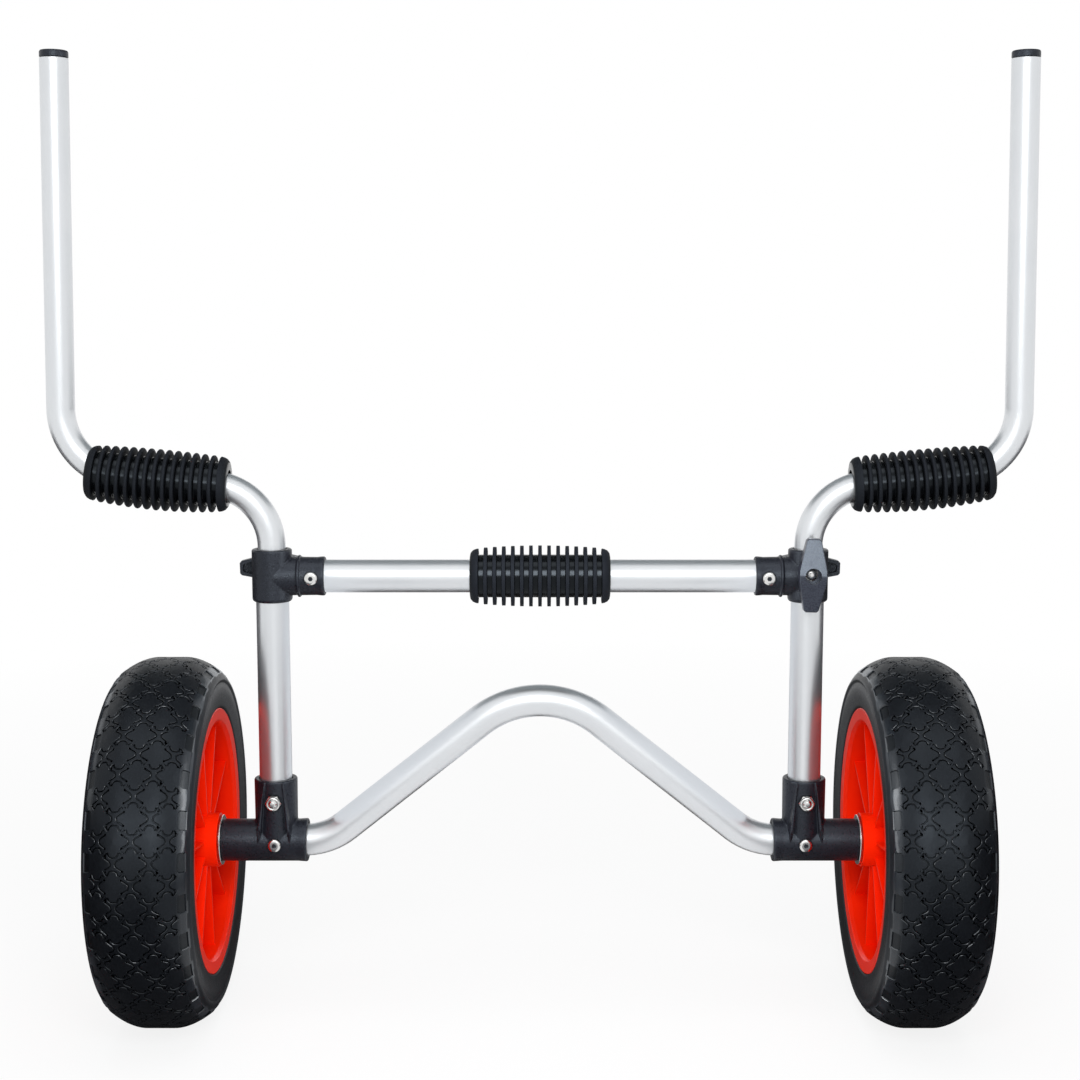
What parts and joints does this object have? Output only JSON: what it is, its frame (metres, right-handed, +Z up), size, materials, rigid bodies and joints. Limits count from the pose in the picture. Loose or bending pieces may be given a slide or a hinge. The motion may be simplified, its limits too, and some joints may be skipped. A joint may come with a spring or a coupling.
{
  "type": "kayak cart",
  "caption": "Two-wheeled kayak cart: arched tube frame with moulded tees, ribbed grips and crank arms that turn and slide in the posts to hold a hull",
  "frame": {"origin": "on the ground, midway between the two wheels", "axes": "+X to the right along the axle, +Y along the hull's length, away from the camera, +Z up"},
  "size_m": [0.6824, 0.26, 0.6786],
  "materials": {
    "aluminium_tube": "satin anodised",
    "stainless_steel": "bright",
    "moulded_fitting": "fine grain",
    "grip_rubber": "matte",
    "tyre_rubber": "matte",
    "rim_plastic": "semi-gloss",
    "white_nylon": "plain"
  },
  "bodies": {
    "root": {"arch_tube": "aluminium_tube", "crossbar_tube": "aluminium_tube", "crossbar_grip": "grip_rubber", "left_lower_tee": "moulded_fitting", "left_upper_tee": "moulded_fitting", "left_post_tube": "aluminium_tube", "left_axle": "stainless_steel", "left_inner_washer": "stainless_steel", "left_outer_washer": "stainless_steel", "left_axle_clip": "stainless_steel", "left_axle_plug": "moulded_fitting", "left_crossbar_screw": "stainless_steel", "left_crossbar_nut": "stainless_steel", "left_arch_screw": "stainless_steel", "left_arch_nut": "stainless_steel", "left_post_bolt": "stainless_steel", "left_post_nut": "stainless_steel", "right_lower_tee": "moulded_fitting", "right_upper_tee": "moulded_fitting", "right_post_tube": "aluminium_tube", "right_axle": "stainless_steel", "right_inner_washer": "stainless_steel", "right_outer_washer": "stainless_steel", "right_axle_clip": "stainless_steel", "right_axle_plug": "moulded_fitting", "right_crossbar_screw": "stainless_steel", "right_crossbar_nut": "stainless_steel", "right_arch_screw": "stainless_steel", "right_arch_nut": "stainless_steel", "right_post_bolt": "stainless_steel", "right_post_nut": "stainless_steel", "left_rear_threaded_insert": "stainless_steel", "right_rear_threaded_insert": "stainless_steel", "right_front_threaded_insert": "stainless_steel"},
    "left_wheel": {"left_tyre": "tyre_rubber", "left_rim": "rim_plastic", "left_inner_bush": "white_nylon", "left_outer_bush": "white_nylon"},
    "left_crank_carrier": {"left_crank_guide": "white_nylon"},
    "left_crank_arm": {"left_crank_tube": "aluminium_tube", "left_crank_cap": "moulded_fitting", "left_crank_grip": "grip_rubber"},
    "right_wheel": {"right_tyre": "tyre_rubber", "right_rim": "rim_plastic", "right_inner_bush": "white_nylon", "right_outer_bush": "white_nylon"},
    "right_crank_carrier": {"right_crank_guide": "white_nylon"},
    "right_crank_arm": {"right_crank_tube": "aluminium_tube", "right_crank_cap": "moulded_fitting", "right_crank_grip": "grip_rubber"},
    "left_rear_pad": {"left_rear_pressure_pad": "white_nylon"},
    "left_rear_knob": {"left_rear_wing_knob": "moulded_fitting", "left_rear_knob_stud": "stainless_steel"},
    "right_rear_pad": {"right_rear_pressure_pad": "white_nylon"},
    "right_rear_knob": {"right_rear_wing_knob": "moulded_fitting", "right_rear_knob_stud": "stainless_steel"},
    "right_front_pad": {"right_front_pressure_pad": "white_nylon"},
    "right_front_knob": {"right_front_wing_knob": "moulded_fitting", "right_front_knob_stud": "stainless_steel"}
  },
  "joints": [
    {"name": "left_wheel_spin", "type": "hinge", "parent": "root", "child": "left_wheel", "pos_m": [-0.263, 0, 0.13], "axis": [1, 0, 0], "continuous": true},
    {"name": "left_crank_lift", "type": "slide", "parent": "root", "child": "left_crank_carrier", "axis": [0, 0, 1], "range_m": [0, 0.1]},
    {"name": "left_crank_turn", "type": "hinge", "parent": "left_crank_carrier", "child": "left_crank_arm", "pos_m": [-0.1874, 0, 0.25], "axis": [0, 0, 1], "continuous": true},
    {"name": "right_wheel_spin", "type": "hinge", "parent": "root", "child": "right_wheel", "pos_m": [0.263, 0, 0.13], "axis": [1, 0, 0], "continuous": true},
    {"name": "right_crank_lift", "type": "slide", "parent": "root", "child": "right_crank_carrier", "axis": [0, 0, 1], "range_m": [0, 0.1]},
    {"name": "right_crank_turn", "type": "hinge", "parent": "right_crank_carrier", "child": "right_crank_arm", "pos_m": [0.1874, 0, 0.25], "axis": [0, 0, 1], "continuous": true},
    {"name": "left_rear_knob_travel", "type": "slide", "parent": "root", "child": "left_rear_pad", "axis": [0, 1, 0], "range_m": [0, 0.0025]},
    {"name": "left_rear_knob_turn", "type": "hinge", "parent": "left_rear_pad", "child": "left_rear_knob", "pos_m": [-0.1874, 0.02, 0.3235], "axis": [0, 1, 0], "range_deg": [0, 720]},
    {"name": "right_rear_knob_travel", "type": "slide", "parent": "root", "child": "right_rear_pad", "axis": [0, 1, 0], "range_m": [0, 0.0025]},
    {"name": "right_rear_knob_turn", "type": "hinge", "parent": "right_rear_pad", "child": "right_rear_knob", "pos_m": [0.1874, 0.02, 0.3235], "axis": [0, 1, 0], "range_deg": [0, 720]},
    {"name": "right_front_knob_travel", "type": "slide", "parent": "root", "child": "right_front_pad", "axis": [0, -1, 0], "range_m": [0, 0.0025]},
    {"name": "right_front_knob_turn", "type": "hinge", "parent": "right_front_pad", "child": "right_front_knob", "pos_m": [0.1874, -0.02, 0.3235], "axis": [0, -1, 0], "range_deg": [0, 720]}
  ],
  "couplings": [
    {"joint": "left_rear_knob_travel", "follows": "left_rear_knob_turn", "m_per_rad": 0.00019894},
    {"joint": "right_rear_knob_travel", "follows": "right_rear_knob_turn", "m_per_rad": 0.00019894},
    {"joint": "right_front_knob_travel", "follows": "right_front_knob_turn", "m_per_rad": 0.00019894}
  ]
}
